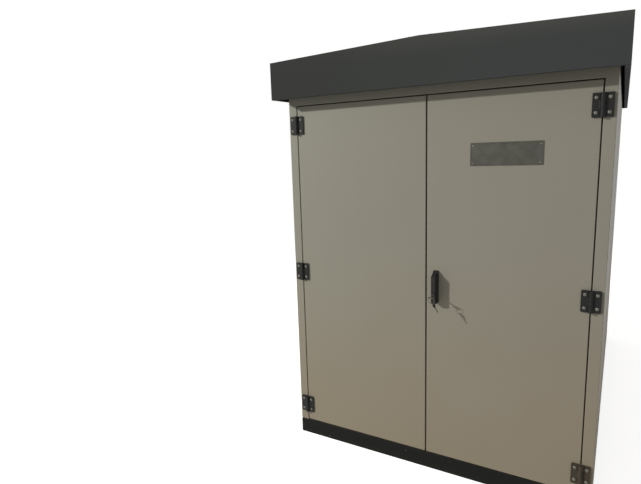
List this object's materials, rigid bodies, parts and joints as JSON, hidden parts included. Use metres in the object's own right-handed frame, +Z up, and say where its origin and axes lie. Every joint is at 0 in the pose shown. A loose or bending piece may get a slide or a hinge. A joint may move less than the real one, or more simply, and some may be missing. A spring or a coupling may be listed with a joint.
{
  "type": "compact substation housing",
  "caption": "Free-standing sheet-steel kiosk with a low gabled overhanging canopy, a channel base and a pair of hinged front doors with a turning handle.",
  "frame": {"origin": "centre of the footprint at ground level, under the base channels", "axes": "+Z up, -Y out of the doors, +X to the right as seen facing the doors"},
  "size_m": [1.57, 2.61, 2.091],
  "materials": {
    "housing_paint": "pebble grey powder coat, satin, dusty",
    "canopy_paint": "dark grey powder coat, satin",
    "base_paint": "black paint, scuffed",
    "floor_steel": "galvanised",
    "seal_rubber": "matte",
    "hinge_black": "black coated die casting",
    "handle_black": "black moulded, fine grain",
    "plate_aluminium": "brushed and dulled",
    "plated_steel": "nickel plate, worn"
  },
  "bodies": {
    "housing": {"base_channel_front": "base_paint", "base_channel_back": "base_paint", "base_channel_left": "base_paint", "base_channel_right": "base_paint", "base_cross_members": "base_paint", "floor_plates": "floor_steel", "post_front_left": "housing_paint", "post_front_right": "housing_paint", "post_back_left": "housing_paint", "post_back_right": "housing_paint", "header_front": "housing_paint", "header_back": "housing_paint", "header_left": "housing_paint", "header_right": "housing_paint", "frame_sills": "housing_paint", "door_post": "housing_paint", "mullion_left": "housing_paint", "mullion_right": "housing_paint", "mullion_back": "housing_paint", "panel_left_front": "housing_paint", "panel_left_back": "housing_paint", "panel_right_front": "housing_paint", "panel_right_back": "housing_paint", "panel_back_left": "housing_paint", "panel_back_right": "housing_paint", "door_seals": "seal_rubber", "roof_bearers": "housing_paint", "roof_sheet_left": "canopy_paint", "roof_sheet_right": "canopy_paint", "ridge_cap": "canopy_paint", "fascia_front": "canopy_paint", "fascia_back": "canopy_paint", "fascia_left": "canopy_paint", "fascia_right": "canopy_paint", "hinges_left_frame": "hinge_black", "hinges_right_frame": "hinge_black"},
    "left_door": {"door_left": "housing_paint", "door_left_stiffeners": "housing_paint", "hinges_left_door": "hinge_black"},
    "right_door": {"door_right": "housing_paint", "door_right_stiffeners": "housing_paint", "hinges_right_door": "hinge_black", "nameplate": "plate_aluminium", "handle_housing": "handle_black"},
    "handle": {"handle_grip": "handle_black", "latch_cam": "plated_steel", "key": "plated_steel"}
  },
  "joints": [
    {"name": "left_door_hinge", "type": "hinge", "parent": "housing", "child": "left_door", "pos_m": [-0.7015, -1.21, 0.9715], "axis": [0, 0, -1], "range_deg": [0, 120]},
    {"name": "right_door_hinge", "type": "hinge", "parent": "housing", "child": "right_door", "pos_m": [0.7015, -1.21, 0.9715], "axis": [0, 0, 1], "range_deg": [0, 120]},
    {"name": "handle_turn", "type": "hinge", "parent": "right_door", "child": "handle", "pos_m": [0.0495, -1.207, 1.016], "axis": [0, -1, 0], "range_deg": [0, 90]}
  ]
}
